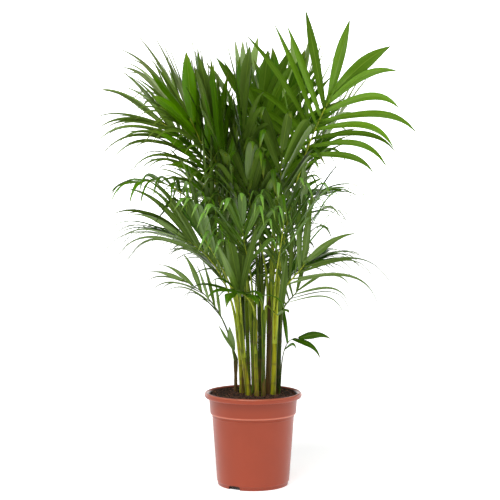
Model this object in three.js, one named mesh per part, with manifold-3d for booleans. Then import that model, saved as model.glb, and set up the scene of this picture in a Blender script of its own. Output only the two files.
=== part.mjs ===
import * as THREE from 'three';
import { mergeVertices } from 'three/addons/utils/BufferGeometryUtils.js';
import Module from 'manifold-3d';

// Potted areca palm: a clump of slender canes in a plastic nursery pot.
// Millimetres, +Z up. The origin is the middle of the pot's flat underside and -Y is the front.
// Every frond follows one rule: a bent rib stands on its cane, and two rows of leaflets leave the rib,
// each leaflet with its own direction, length and droop worked out from where it sits.

const wasm = await Module();
wasm.setup();

// Fit between neighbouring pieces
const GAP = 0.3;

// Pot
const POT = {
  height: 202, baseRadius: 78, edgeBevel: 2,
  stepHeight: 156, bodyTopRadius: 89.5, collarBottomRadius: 93.5, collarTopRadius: 95.8,
  rimBottom: 190.5, rimRadius: 106, wall: 2.4, floor: 3, sides: 48,
};
const SLOT = { count: 3, firstAzimuth: 238, width: 32, height: 9, depth: 14 };

// Soil
const SOIL_TOP = 200;

// Cane: one flat-topped tapering stem with a flared foot, sized by how many fronds it carries
const CANE = {
  sides: 10, flare: 1.35, flareHeight: 14, waist: 0.92, waistAt: 0.5, sheathSwell: 1.12, sheathAt: 0.82,
  frondSpacing: 7.2, shoulder: 2.4,
};
const STEMS = {
  left_thin: { foot: [-38, 26], azimuth: 185, lean: 0, height: 68, radius: 3.8 },
  left_yellow: { foot: [-24, 8], azimuth: 185, lean: 3, height: 140, radius: 5.4 },
  front_left: { foot: [-10, -30], azimuth: 190, lean: 7, height: 160, radius: 5.8 },
  centre: { foot: [2, -8], azimuth: 200, lean: 2, height: 180, radius: 5.2 },
  inner: { foot: [-9, 24], azimuth: 150, lean: 2, height: 200, radius: 4.8 },
  front_centre: { foot: [8, -38], azimuth: 230, lean: 2, height: 170, radius: 4.6 },
  back_left: { foot: [-18, 40], azimuth: 120, lean: 4, height: 190, radius: 5.0 },
  back_centre: { foot: [16, 58], azimuth: 85, lean: 4, height: 180, radius: 4.8 },
  back_outer: { foot: [2, 68], azimuth: 95, lean: 5, height: 150, radius: 4.2 },
  middle: { foot: [14, 20], azimuth: 60, lean: 1, height: 210, radius: 5.8 },
  front_thin: { foot: [22, -34], azimuth: 275, lean: 2, height: 185, radius: 4.4 },
  brown: { foot: [32, -6], azimuth: 0, lean: 1, height: 210, radius: 6.0 },
  front_right: { foot: [43, -26], azimuth: 340, lean: 2, height: 190, radius: 6.0 },
  right: { foot: [54, 2], azimuth: 10, lean: 1, height: 165, radius: 5.4 },
  back_right: { foot: [38, 36], azimuth: 50, lean: 3, height: 190, radius: 5.2 },
};

// Frond kinds: bare is the leafless share of the rib, spread the leaflets' angle to it at both ends,
// vee their lift out of the rib's plane, droop how far they hang, start the rib's lean at its foot.
// A leaflet is widest at full and narrows to its tip by taper; hook folds it over, by hold at the latest.
const KINDS = {
  tall: {
    rib: 2.7, bare: 0.42, pairs: 10, leaf: 220, width: 24,
    spread: [44, 12], vee: 12, droop: 1.1, start: 5, full: 0.58, taper: 1.7,
  },
  arch: {
    rib: 2.5, bare: 0.4, pairs: 11, leaf: 210, width: 15,
    spread: [52, 16], vee: 18, droop: 1.8, start: 8, full: 0.36, taper: 1.15,
  },
  low: {
    rib: 2.2, bare: 0.4, pairs: 7, leaf: 180, width: 14,
    spread: [52, 20], vee: 16, droop: 1.9, start: 10, full: 0.36, taper: 1.2,
  },
  fold: {
    rib: 2.3, bare: 0.5, pairs: 6, leaf: 205, width: 17,
    spread: [32, 10], vee: 16, droop: 0.6, start: 4, full: 0.5, taper: 1.5, hook: 2.2, bend: 6, hold: 0.8,
  },
  spear: {
    rib: 2, bare: 0.86, pairs: 1, leaf: 240, width: 25,
    spread: [9, 5], vee: 4, droop: 0.6, start: 3, full: 0.5, taper: 1.6,
  },
  small: {
    rib: 1.5, bare: 0.55, pairs: 3, leaf: 110, width: 11,
    spread: [40, 26], vee: 15, droop: 1.6, start: 8, full: 0.4, taper: 1.2,
  },
};

// Fronds: stem, where the rib ends, its lean there, kind, and what differs from the kind
const FRONDS = [
  ['top_right', 'front_right', [163, -80, 839], 30, 'tall',
    { bare: 0.68, pairs: 8, roll: -76, tipWidth: 1.3,
      leaf: 240, width: 21, spread: [58, 9], vee: -8, droop: 2.1 }],
  ['top_back_right', 'back_right', [106, 150, 869], 8, 'tall', { roll: -30, leaf: 200, width: 17 }],
  ['top_middle', 'middle', [-22, -60, 806], 2, 'tall', { bare: 0.34, leaf: 200, roll: -50 }],
  ['top_back', 'back_left', [-16, 120, 858], 4, 'tall', { leaf: 200, width: 18, roll: 40 }],
  ['top_left', 'centre', [-90, -110, 800], 20, 'tall',
    { bare: 0.34, leaf: 235, width: 25, roll: -50, spread: [38, 12], pairs: 9 }],
  ['upper_left', 'left_yellow', [-203, 30, 788], 64, 'arch',
    { bare: 0.5, roll: -50, leaf: 250, spread: [40, 12], vee: 14, droop: 2.4 }],
  ['upper_back_left', 'back_left', [-192, 150, 842], 58, 'arch',
    { roll: 40, leaf: 260, spread: [38, 14], droop: 2.8 }],
  ['upper_right', 'right', [143, 60, 759], 36, 'arch',
    { bare: 0.5, roll: -60, leaf: 250, droop: 2.4, pairs: 7 }],
  ['upper_back_right', 'back_right', [193, 170, 802], 42, 'arch', { roll: -30, leaf: 220 }],
  ['arching_left', 'front_left', [-242, -60, 659], 100, 'arch',
    { leaf: 210, droop: 5, width: 13, spread: [74, 40], vee: 26, bend: 1.4 }],
  ['arching_front', 'centre', [-23, -150, 570], 30, 'fold', {}],
  ['arching_front_right', 'front_right', [64, -130, 585], 22, 'fold', { width: 13, leaf: 215 }],
  ['middle_right', 'right', [115, 10, 593], 18, 'arch',
    { droop: 2.9, roll: -35, leaf: 235, width: 19, pairs: 5, spread: [52, 20] }],
  ['lower_right', 'front_right', [112, -60, 489], 34, 'arch',
    { droop: 2.9, roll: -60, leaf: 235, width: 15, pairs: 5, spread: [40, 18] }],
  ['low_right', 'right', [97, -20, 426], 38, 'low', { droop: 3.2, roll: -40, width: 10, pairs: 4 }],
  ['middle_left', 'left_yellow', [-144, -20, 534], 62, 'arch',
    { droop: 2.8, roll: 35, leaf: 290, width: 13, spread: [34, 12] }],
  ['middle_back_left', 'back_left', [-126, 60, 653], 50, 'arch', { leaf: 190, roll: 35 }],
  ['low_left', 'left_thin', [-150, 0, 444], 66, 'low',
    { leaf: 125, width: 14, pairs: 5, roll: 30, spread: [32, 14] }],
  ['young_left', 'left_thin', [-42, 20, 291], 18, 'spear',
    { width: 17, leaf: 90, spread: [16, 6], roll: 20 }],
  ['seedling', 'soil', [98, -20, 322], 92, 'small',
    { foot: [57, -6], roll: 50, droop: 2.2, spread: [50, 20], leaf: 120, width: 14, bare: 0.62, pairs: 2 }],
  ['spear_right', 'front_thin', [54, -110, 388], -1, 'spear', { roll: 12, width: 19, leaf: 200 }],
  ['spear_left', 'front_left', [-28, -80, 431], 8, 'spear',
    { width: 26, pairs: 2, bare: 0.8, spread: [14, 8], leaf: 220 }],
  ['low_front', 'front_thin', [-11, -110, 424], 80, 'small',
    { leaf: 160, droop: 4.2, pairs: 2, width: 20, spread: [62, 40], roll: -10 }],
  ['back_high', 'back_centre', [20, 230, 700], 60, 'arch', {}],
  ['back_left_high', 'back_outer', [-100, 220, 620], 75, 'arch', {}],
  ['back_right_high', 'back_centre', [120, 210, 620], 75, 'arch', {}],
  ['back_low', 'back_outer', [10, 205, 480], 85, 'low', {}],
  ['back_left_low', 'back_outer', [-70, 150, 490], 65, 'low', {}],
  ['back_right_low', 'back_right', [130, 80, 480], 65, 'low', {}],
  ['top_inner_right', 'brown', [59, 70, 812], 8, 'tall', { leaf: 210 }],
  ['top_inner', 'middle', [19, 10, 826], 6, 'tall', { leaf: 210, roll: -20 }],
  ['top_outer_left', 'left_yellow', [-134, -50, 794], 28, 'tall',
    { leaf: 200, width: 24, roll: -70, spread: [34, 14], pairs: 8 }],
  ['fold_left', 'front_left', [-118, -90, 567], 32, 'fold', { width: 15, roll: -10 }],
  ['fold_high', 'brown', [-11, -140, 658], 12, 'fold', { leaf: 205, width: 22 }],
  ['fold_right', 'right', [103, -60, 557], 14, 'fold', { width: 8, leaf: 210 }],
  ['upper_left_front', 'centre', [-156, -40, 794], 52, 'arch',
    { roll: -40, leaf: 245, spread: [40, 14], droop: 2.6 }],
  ['fold_top', 'brown', [59, -130, 721], 12, 'fold',
    { leaf: 215, width: 24, pairs: 5, spread: [30, 12] }],
  ['hang_left', 'front_centre', [-40, -100, 429], 84, 'small',
    { leaf: 160, droop: 4, pairs: 2, width: 22, spread: [50, 30], roll: -10 }],
  ['inner_left', 'inner', [-103, 40, 797], 14, 'tall', { bare: 0.3, leaf: 200, width: 24, pairs: 8 }],
];

// Rib and leaflet shape
const RIB = { startHold: 0.38, endHold: 0.34, fullness: 1.3, tipShare: 0.45, stalkSteps: 5, testSteps: 14 };
const LEAF = {
  thickness: 1 / 90, sections: [0.36, 0.72], limpSections: [0.25, 0.5, 0.76], foldSections: [0.5, 0.88, 1.02],
  limpFrom: 2, closeSection: 0.1, closeAngle: 43, freeFrom: 0.06, clearance: 0.35, rootOverlap: 0.05,
  twist: 12, narrowing: 3.2,
};

const radians = THREE.MathUtils.degToRad;
const UP = new THREE.Vector3(0, 0, 1);

// Small repeatable scatter between -1 and 1
function scatter(a, b, c) {
  const s = Math.sin(a * 12.9898 + b * 78.233 + c * 37.719) * 43758.5453;
  return 2 * (s - Math.floor(s)) - 1;
}

function heading(azimuth, lean) {
  const a = radians(azimuth);
  const l = radians(lean);
  return new THREE.Vector3(Math.sin(l) * Math.cos(a), Math.sin(l) * Math.sin(a), Math.cos(l));
}

// Conversion between three.js geometry and closed solids
function toSolid(geometry) {
  const bare = geometry.clone();
  bare.deleteAttribute('normal');
  bare.deleteAttribute('uv');
  const merged = mergeVertices(bare, 1e-4);
  return new wasm.Manifold(new wasm.Mesh({
    numProp: 3,
    vertProperties: new Float32Array(merged.attributes.position.array),
    triVerts: new Uint32Array(merged.index.array),
  }));
}

function toGeometry(solid) {
  const mesh = solid.getMesh();
  const geometry = new THREE.BufferGeometry();
  geometry.setAttribute('position', new THREE.BufferAttribute(new Float32Array(mesh.vertProperties), 3));
  geometry.setIndex(new THREE.BufferAttribute(new Uint32Array(mesh.triVerts), 1));
  geometry.computeVertexNormals();
  return geometry;
}

// A closed surface gathered ring by ring: add() stores points, band() joins two rings, close() caps one.
// Rings run anticlockwise seen from the way the piece grows; a ring may repeat a point.
class Skin {
  constructor() {
    this.points = [];
    this.faces = [];
  }
  add(...points) {
    return points.map((p) => this.points.push(p) - 1);
  }
  face(a, b, c) {
    if (a !== b && b !== c && c !== a) this.faces.push(a, b, c);
  }
  strip(a0, a1, b0, b1) {
    this.face(a0, a1, b0);
    this.face(a1, b1, b0);
  }
  band(from, to) {
    from.forEach((point, i) => {
      const next = (i + 1) % from.length;
      this.strip(point, from[next], to[i], to[next]);
    });
  }
  close(ring, forward) {
    for (let i = 1; i + 1 < ring.length; i++) {
      if (forward) this.face(ring[0], ring[i], ring[i + 1]);
      else this.face(ring[0], ring[i + 1], ring[i]);
    }
  }
  geometry() {
    const geometry = new THREE.BufferGeometry().setFromPoints(this.points);
    geometry.setIndex(this.faces);
    geometry.computeVertexNormals();
    return geometry;
  }
}

// Materials
function finish(color, roughness) {
  return new THREE.MeshStandardMaterial({ color, roughness, metalness: 0 });
}

// Pot: a lathe with a step under the collar and a thick rim, and drain slots at the foot of the wall
function potSolid() {
  const p = POT;
  const profile = [
    [0, 0], [p.baseRadius - p.edgeBevel, 0], [p.baseRadius, p.edgeBevel],
    [p.bodyTopRadius, p.stepHeight - 2], [p.collarBottomRadius, p.stepHeight + 1],
    [p.collarTopRadius, p.rimBottom], [p.rimRadius - 1, p.rimBottom], [p.rimRadius, p.rimBottom + 2],
    [p.rimRadius, p.height - 3], [p.rimRadius - 2.5, p.height], [p.collarTopRadius + 1, p.height],
    [p.collarTopRadius - p.wall, p.height - 5], [p.collarBottomRadius - p.wall, p.stepHeight + 1],
    [p.bodyTopRadius - p.wall, p.stepHeight - 4], [p.baseRadius - p.wall, p.floor], [0, p.floor],
  ].map(([r, z]) => new THREE.Vector2(r, z));
  let pot = toSolid(new THREE.LatheGeometry(profile, p.sides).rotateX(Math.PI / 2));
  for (let i = 0; i < SLOT.count; i++) {
    const azimuth = radians(SLOT.firstAzimuth + 360 * i / SLOT.count);
    const cut = new THREE.BoxGeometry(SLOT.depth, SLOT.width, SLOT.height * 2);
    cut.translate(p.baseRadius, 0, 0);
    cut.rotateZ(azimuth);
    pot = pot.subtract(toSolid(cut));
  }
  return pot;
}

// Soil: fills the pot to just under the rim
function soilSolid() {
  const p = POT;
  const inset = p.wall + GAP;
  const profile = [
    [0, p.floor + GAP], [p.baseRadius - inset - GAP, p.floor + GAP],
    [p.bodyTopRadius - inset, p.stepHeight - 4], [p.collarBottomRadius - inset, p.stepHeight + 1 + GAP],
    [p.collarTopRadius - inset, SOIL_TOP], [0, SOIL_TOP],
  ].map(([r, z]) => new THREE.Vector2(r, z));
  return toSolid(new THREE.LatheGeometry(profile, p.sides).rotateX(Math.PI / 2));
}

// Fronds that one stem carries, in order round it
function frondsOf(stem) {
  const [x, y] = STEMS[stem].foot;
  return FRONDS.filter((f) => f[1] === stem)
    .map((f) => ({ name: f[0], azimuth: Math.atan2(f[2][1] - y, f[2][0] - x) }))
    .sort((a, b) => a.azimuth - b.azimuth);
}

function ringOffset(stem) {
  const count = frondsOf(stem).length;
  return count < 2 ? 0 : CANE.frondSpacing / 2 / Math.sin(Math.PI / count);
}

// A leaning cane's flat foot is raised until its low edge clears the soil
function stemFoot(stem) {
  const s = STEMS[stem];
  const rise = s.radius * CANE.flare * Math.sin(radians(s.lean));
  return new THREE.Vector3(s.foot[0], s.foot[1], SOIL_TOP + GAP + rise);
}

function stemTop(stem) {
  const s = STEMS[stem];
  return stemFoot(stem).addScaledVector(heading(s.azimuth, s.lean), s.height);
}

// Cane: a flared foot, a taper up to the leaf sheaths, and a flat top under the fronds
function stemSolid(stem) {
  const s = STEMS[stem];
  const top = Math.max(s.radius * CANE.sheathSwell, ringOffset(stem) + CANE.shoulder);
  const rings = [
    [s.radius * CANE.flare, 0], [s.radius, CANE.flareHeight],
    [s.radius * CANE.waist, s.height * CANE.waistAt], [top, s.height * CANE.sheathAt], [top, s.height],
  ];
  const profile = [[0, 0], ...rings, [0, s.height]].map(([r, z]) => new THREE.Vector2(r, z));
  const cane = new THREE.LatheGeometry(profile, CANE.sides).rotateX(Math.PI / 2);
  cane.applyQuaternion(new THREE.Quaternion().setFromUnitVectors(UP, heading(s.azimuth, s.lean)));
  const foot = stemFoot(stem);
  cane.translate(foot.x, foot.y, foot.z);
  return toSolid(cane);
}

// Where a frond's rib stands: its own place in the ring on top of its stem, or the soil
function ribFoot(frond) {
  if (frond.stem === 'soil') {
    const rise = (frond.rib * RIB.fullness + LEAF.clearance) * Math.sin(radians(frond.start));
    return new THREE.Vector3(frond.foot[0], frond.foot[1], SOIL_TOP + GAP + rise);
  }
  const ring = frondsOf(frond.stem);
  const place = ring.findIndex((f) => f.name === frond.name);
  const mean = ring.reduce((sum, f) => sum + f.azimuth, 0) / ring.length;
  const azimuth = mean + 2 * Math.PI * (place - (ring.length - 1) / 2) / ring.length;
  const axis = heading(STEMS[frond.stem].azimuth, STEMS[frond.stem].lean);
  const out = new THREE.Vector3(Math.cos(azimuth), Math.sin(azimuth), 0);
  out.addScaledVector(axis, -out.dot(axis)).normalize();
  return stemTop(frond.stem).addScaledVector(axis, 2 * GAP).addScaledVector(out, ringOffset(frond.stem));
}

// Rib: a cubic curve from the foot to the end, leaving and arriving at the given leans
function ribCurve(frond) {
  const foot = ribFoot(frond);
  const end = new THREE.Vector3(...frond.end);
  const azimuth = THREE.MathUtils.radToDeg(Math.atan2(end.y - foot.y, end.x - foot.x));
  const chord = foot.distanceTo(end);
  const p1 = foot.clone().addScaledVector(heading(azimuth, frond.start), chord * RIB.startHold);
  const p2 = end.clone().addScaledVector(heading(azimuth, frond.endLean), -chord * RIB.endHold);
  return { curve: new THREE.CubicBezierCurve3(foot, p1, p2, end), azimuth: radians(azimuth) };
}

function alongRib(rib, t) {
  return { point: rib.curve.getPoint(t), tangent: rib.curve.getTangent(t).normalize() };
}

// Side and lift directions of the rib's blade at a tangent, turned about the rib by its roll
function bladeAxes(rib, tangent, roll) {
  const side = new THREE.Vector3(-Math.sin(rib.azimuth), Math.cos(rib.azimuth), 0);
  side.addScaledVector(tangent, -side.dot(tangent)).normalize();
  return {
    side: side.clone().applyAxisAngle(tangent, roll),
    lift: tangent.clone().cross(side).applyAxisAngle(tangent, roll),
  };
}

// Three corners of the rib at a share t of its length: left edge, right edge and keel
function ribRing(frond, rib, t, extra) {
  const { point, tangent } = alongRib(rib, t);
  const { side, lift } = bladeAxes(rib, tangent, radians(frond.roll));
  const radius = frond.rib * RIB.fullness * (1 + (RIB.tipShare - 1) * t) + extra;
  return [5 / 6, 1 / 6, 3 / 2].map((turn) => point.clone()
    .addScaledVector(side, radius * Math.cos(turn * Math.PI))
    .addScaledVector(lift, radius * Math.sin(turn * Math.PI)));
}

function ribSolid(frond, rib, extra) {
  const skin = new Skin();
  const rings = [];
  for (let i = 0; i <= RIB.testSteps; i++) {
    rings.push(skin.add(...ribRing(frond, rib, i / RIB.testSteps, extra)).reverse());
  }
  skin.close(rings[0], false);
  for (let i = 0; i < RIB.testSteps; i++) skin.band(rings[i], rings[i + 1]);
  skin.close(rings[RIB.testSteps], true);
  return toSolid(skin.geometry());
}

// Share of the leafy stretch at which a leaflet sits: the right row sits a little further on than the left
function leafletPlace(frond, row, side) {
  return Math.min(1, (row + 0.225 * (1 + side)) / (frond.pairs - 0.55));
}

// Leaflet: how it leaves the rib, worked out from its place and the small scatter of its frond
function leafletPlan(frond, rib, row, side, nudge) {
  const q = leafletPlace(frond, row, side);
  const { point, tangent } = alongRib(rib, frond.bare + (1 - frond.bare) * q);
  const axes = bladeAxes(rib, tangent, radians(frond.roll));
  const j = [1, 2, 3].map((k) => scatter(frond.index, 2 * row + (side > 0 ? 1 : 0), k));
  const [wide, narrow] = frond.spread;
  const spread = radians(wide + (narrow - wide) * q ** LEAF.narrowing + 7 * j[0] + nudge.spread);
  const vee = radians(frond.vee * (1 - 0.5 * q) + 9 * j[1] + nudge.vee);
  const out = axes.side.multiplyScalar(side * Math.cos(vee)).addScaledVector(axes.lift, Math.sin(vee));
  const start = tangent.clone().multiplyScalar(Math.cos(spread)).addScaledVector(out, Math.sin(spread));
  const level = start.x ** 2 + start.y ** 2;
  const stiffness = 1.1 - 0.6 * q ** 3;
  const hang = frond.droop * level * stiffness * (1 + 0.35 * j[1]) * nudge.droop
    + frond.hook * (1 + 0.15 * j[2]);
  const away = heading(THREE.MathUtils.radToDeg(rib.azimuth), 90).multiplyScalar(frond.hook * 0.3);
  const end = start.clone().add(away).addScaledVector(UP, -hang).normalize();
  const flat = tangent.clone().addScaledVector(start, -tangent.dot(start)).normalize();
  if (frond.hook > 0) {
    const square = start.clone().cross(end).normalize();
    flat.copy(square.multiplyScalar(Math.sign(square.dot(flat))));
  }
  flat.applyAxisAngle(start, radians((LEAF.twist + 14 * j[2]) * side));
  const reach = 0.62 + 0.38 * Math.sin(Math.PI * (0.12 + 0.86 * q));
  const breadth = (0.62 + 0.38 * q * q) * (row === frond.pairs - 1 ? frond.tipWidth : 1);
  return {
    side,
    root: point,
    start,
    end,
    flat,
    length: frond.leaf * reach * (1 + 0.13 * j[2]) * nudge.length,
    width: frond.width * breadth * (1 + 0.12 * j[0]),
    full: frond.full,
    taper: frond.taper,
    bend: frond.bend,
    hold: frond.hold * (1 + 0.1 * j[1]),
    folded: frond.hook > 0,
    limp: hang > LEAF.limpFrom,
    close: spread < radians(LEAF.closeAngle),
  };
}

// Point, direction and half width of a leaflet at a share u of its length
function leafletAt(plan, u) {
  const { bend, hold, full } = plan;
  const turning = Math.min(1, u / hold);
  const late = turning ** (bend + 1) * hold / (bend + 1) + Math.max(0, u - hold);
  const point = plan.root.clone()
    .addScaledVector(plan.start, plan.length * (u - late))
    .addScaledVector(plan.end, plan.length * late);
  const turned = turning ** bend;
  const along = plan.start.clone().multiplyScalar(1 - turned).addScaledVector(plan.end, turned).normalize();
  const across = plan.flat.clone().addScaledVector(along, -plan.flat.dot(along)).normalize();
  const base = 0.4 + 0.6 * Math.sin(Math.min(1, u / full) * Math.PI / 2);
  const tip = 1 - Math.max(0, (u - full) / (1 - full)) ** plan.taper;
  return { point, along, across, half: plan.width / 2 * base * tip };
}

// Corners of a leaflet's section: the edge towards the rib's foot, the edge towards its end, and the keel.
// Extra thickens the section for a fit test.
function leafletRing(plan, u, extra) {
  const { point, along, across, half } = leafletAt(plan, u);
  const keel = across.clone().cross(along).multiplyScalar(-plan.side);
  const depth = plan.length * LEAF.thickness;
  return [
    point.clone().addScaledVector(across, -half - extra).addScaledVector(keel, -depth * 0.3 - extra),
    point.clone().addScaledVector(across, half + extra).addScaledVector(keel, -depth * 0.3 - extra),
    point.clone().addScaledVector(keel, depth * 0.7 + extra),
  ];
}

// Growing order of a section's corners, which is mirrored on the rib's left
function ordered(plan, [foot, end, keel]) {
  return plan.side > 0 ? [foot, end, keel] : [keel, end, foot];
}

// Shares of a leaflet's length at which it has a section: a folded one has them either side of its fold,
// and one that leaves close along the rib has one more, where it is still narrow
function sectionsOf(plan) {
  const first = plan.close ? [LEAF.closeSection] : [];
  if (plan.folded) return [...first, ...LEAF.foldSections.map((share) => share * plan.hold)];
  return [...first, ...(plan.limp ? LEAF.limpSections : LEAF.sections)];
}

// Grow a leaflet on a skin from its root ring; extra thickens it for a fit test
function growLeaflet(skin, plan, root, extra) {
  let last = root;
  for (const u of sectionsOf(plan)) {
    const [foot, end, keel] = skin.add(...leafletRing(plan, u, extra));
    const next = ordered(plan, [foot, end, keel]);
    const spread = plan.side > 0 ? [foot, end, keel, keel] : [keel, keel, end, foot];
    skin.band(last, last.length === 4 ? spread : next);
    last = next;
  }
  const tip = leafletAt(plan, 1);
  const [apex] = skin.add(tip.point.addScaledVector(tip.along, extra));
  skin.band(last, [apex, apex, apex]);
}

// Leaflet on its own, for fit tests: from its stretch of rib, or from a section clear of the rib
function leafletSolid(plan, stretch, extra) {
  const skin = new Skin();
  const root = stretch
    ? skin.add(...rootCorners(plan, stretch))
    : ordered(plan, skin.add(...leafletRing(plan, LEAF.freeFrom, extra)));
  skin.close(root, false);
  growLeaflet(skin, plan, root, extra);
  return toSolid(skin.geometry());
}

// Root of a leaflet: the side face of its stretch of rib, between two rings of left edge, right edge and keel
function rootCorners(plan, [[left, right, keel], [left2, right2, keel2]]) {
  return plan.side > 0 ? [right, right2, keel2, keel] : [keel, keel2, left2, left];
}

function boxOf(solid) {
  const b = solid.boundingBox();
  return new THREE.Box3(new THREE.Vector3(...b.min), new THREE.Vector3(...b.max));
}

// Pieces already placed, each with its box, against which the next ones are tested
const placed = [];

function isClear(solid, owner, pieces = placed, allowed = 0) {
  const box = boxOf(solid);
  for (const other of pieces) {
    if (other.owner === owner || !other.box.intersectsBox(box)) continue;
    const common = solid.intersect(other.solid);
    const touches = !common.isEmpty() && common.volume() > allowed;
    common.delete();
    if (touches) return false;
  }
  return true;
}

function place(solid, owner, pieces = placed) {
  pieces.push({ solid, owner, box: boxOf(solid) });
}

// Small changes tried in turn where a leaflet would touch another piece
const NUDGES = [[0, 0, 1, 1]];
const TURNS = [[0, 9, 1], [0, -9, 1], [7, 0, 1], [-7, 0, 1], [0, 0, 0.6], [4, 16, 1], [-4, -16, 1.3]];
for (const length of [1, 0.8, 0.6]) {
  for (const [spread, vee, droop] of TURNS) NUDGES.push([spread, vee, droop, length]);
}

function clearLeaflet(frond, rib, spot, stretch, siblings) {
  for (const [spread, vee, droop, length] of NUDGES) {
    const plan = leafletPlan(frond, rib, spot.row, spot.side, { spread, vee, droop, length });
    const whole = leafletSolid(plan, stretch, LEAF.clearance);
    const free = leafletSolid(plan, null, LEAF.clearance);
    const root = leafletSolid(plan, stretch, 0);
    const clear = isClear(whole, frond.name) && isClear(free, null, siblings.free)
      && isClear(root, null, siblings.rooted, LEAF.rootOverlap);
    [whole, free, root].forEach((solid) => solid.delete());
    if (clear) return plan;
  }
  return null;
}

// Frond: the rib's rings fall halfway between leaflets, and each leaflet grows out of its own stretch of rib
function frondGeometry(frond, rib) {
  const skin = new Skin();
  const shareOfRib = (q) => frond.bare + (1 - frond.bare) * Math.min(1, Math.max(0, q));
  const spots = [];
  for (let row = 0; row < frond.pairs; row++) {
    for (const side of [-1, 1]) spots.push({ row, side, q: leafletPlace(frond, row, side) });
  }
  const bounds = spots.map((spot, i) => (i ? (spot.q + spots[i - 1].q) / 2 : 0)).concat([1]);
  const stalk = Array.from({ length: RIB.stalkSteps }, (_, i) => frond.bare * i / RIB.stalkSteps);
  const corners = [...stalk, ...bounds.map(shareOfRib)].map((t) => ribRing(frond, rib, t, 0));
  const rings = corners.map((ring) => skin.add(...ring));
  const siblings = { free: [], rooted: [] };
  skin.close(rings[0], true);
  for (let i = 0; i + 1 < rings.length; i++) {
    const spot = spots[i - stalk.length];
    const stretch = [corners[i], corners[i + 1]];
    const plan = spot ? clearLeaflet(frond, rib, spot, stretch, siblings) : null;
    const [left, right, keel] = rings[i];
    const [left2, right2, keel2] = rings[i + 1];
    skin.strip(left, left2, right, right2);
    if (!plan || plan.side < 0) skin.strip(right, right2, keel, keel2);
    if (!plan || plan.side > 0) skin.strip(keel, keel2, left, left2);
    if (!plan) continue;
    place(leafletSolid(plan, stretch, 0), frond.name);
    place(leafletSolid(plan, null, 0), frond.name, siblings.free);
    place(leafletSolid(plan, stretch, 0), frond.name, siblings.rooted);
    growLeaflet(skin, plan, rootCorners(plan, [rings[i], rings[i + 1]]), 0);
  }
  skin.close(rings[rings.length - 1], false);
  return skin.geometry();
}

// Assembly
const palm = new THREE.Group();

function addMesh(name, geometry, material) {
  const mesh = new THREE.Mesh(geometry, material);
  mesh.name = name;
  palm.add(mesh);
}

const potPiece = potSolid();
const soilPiece = soilSolid();
place(potPiece, 'pot');
place(soilPiece, 'soil');
addMesh('pot', toGeometry(potPiece), finish('#ad5843', 0.42));
addMesh('soil', toGeometry(soilPiece), finish('#3a2417', 0.95));

for (const stem of Object.keys(STEMS)) {
  const cane = stemSolid(stem);
  place(cane, `stem_${stem}`);
  addMesh(`stem_${stem}`, toGeometry(cane), finish(stem === 'brown' ? '#5c4630' : '#7d8c34', 0.55));
}

const fronds = FRONDS.map(([name, stem, end, endLean, kind, own], index) => ({
  roll: 0, tipWidth: 1.15, hook: 0, bend: 2, hold: 1, ...KINDS[kind], ...own, name, stem, end, endLean, index,
}));
const ribs = fronds.map(ribCurve);
fronds.forEach((frond, i) => {
  const test = ribSolid(frond, ribs[i], LEAF.clearance);
  if (!isClear(test, frond.name)) throw new Error(`the rib of ${frond.name} touches another piece`);
  place(ribSolid(frond, ribs[i], 0), frond.name);
});
fronds.forEach((frond, i) => {
  addMesh(`frond_${frond.name}`, frondGeometry(frond, ribs[i]), finish('#3f7a1c', 0.5));
});

export default palm;
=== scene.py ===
import math

import bmesh
import bpy
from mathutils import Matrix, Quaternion, Vector


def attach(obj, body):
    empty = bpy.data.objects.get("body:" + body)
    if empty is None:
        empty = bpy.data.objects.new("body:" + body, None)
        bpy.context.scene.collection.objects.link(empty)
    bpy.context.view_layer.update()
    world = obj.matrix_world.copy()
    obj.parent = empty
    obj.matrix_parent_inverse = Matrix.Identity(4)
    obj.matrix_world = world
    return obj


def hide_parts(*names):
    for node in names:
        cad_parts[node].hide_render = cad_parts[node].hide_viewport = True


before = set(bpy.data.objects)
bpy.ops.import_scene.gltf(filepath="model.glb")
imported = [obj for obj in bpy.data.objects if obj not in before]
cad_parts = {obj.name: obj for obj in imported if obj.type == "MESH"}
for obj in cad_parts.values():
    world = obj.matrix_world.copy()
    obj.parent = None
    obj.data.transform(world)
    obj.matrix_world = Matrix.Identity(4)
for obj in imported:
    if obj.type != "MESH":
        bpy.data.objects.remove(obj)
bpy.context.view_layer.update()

# Potted areca palm. Sizes are in millimetres and angles in degrees until a mesh is made.
# Every frond follows one rule: a bent rib stands on its cane, and two rows of leaflets leave the rib.

MM = 0.001

# Pot: a recess under its floor, a foot line, a step under the collar and a rolled rim
POT = {
    "base_radius": 78, "step_height": 156, "body_top": 89.5, "collar_bottom": 93.5, "collar_top": 95.8,
    "rim_bottom": 190.5, "rim_radius": 106, "height": 202, "sides": 128,
    "recess_radius": 62, "recess_height": 2.2, "floor_top": 4, "crease": 50,
}
SLOT = {"count": 3, "first": 238, "width": 28, "height": 8.6, "depth": 16, "corner": 2.2, "lift": 0.2}

# Soil: where it is heaped, how lumpy it is, and how far it climbs at the wall
SOIL_TOP = 200
SOIL = {
    "rings": 34, "sides": 96, "wall": 2.9, "edge": 2.6, "bottom": 4.6,
    "sink": 2.6, "heap": 2.4, "heap_at": (14, 6), "heap_radius": 70, "lumps": 1.3,
    "climb": 1.2, "climb_radius": 92, "waves": ((0.11, 0.4), (0.23, 2.1), (0.41, 4.4), (0.83, 1.3)),
}
GAP = 0.3

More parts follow.
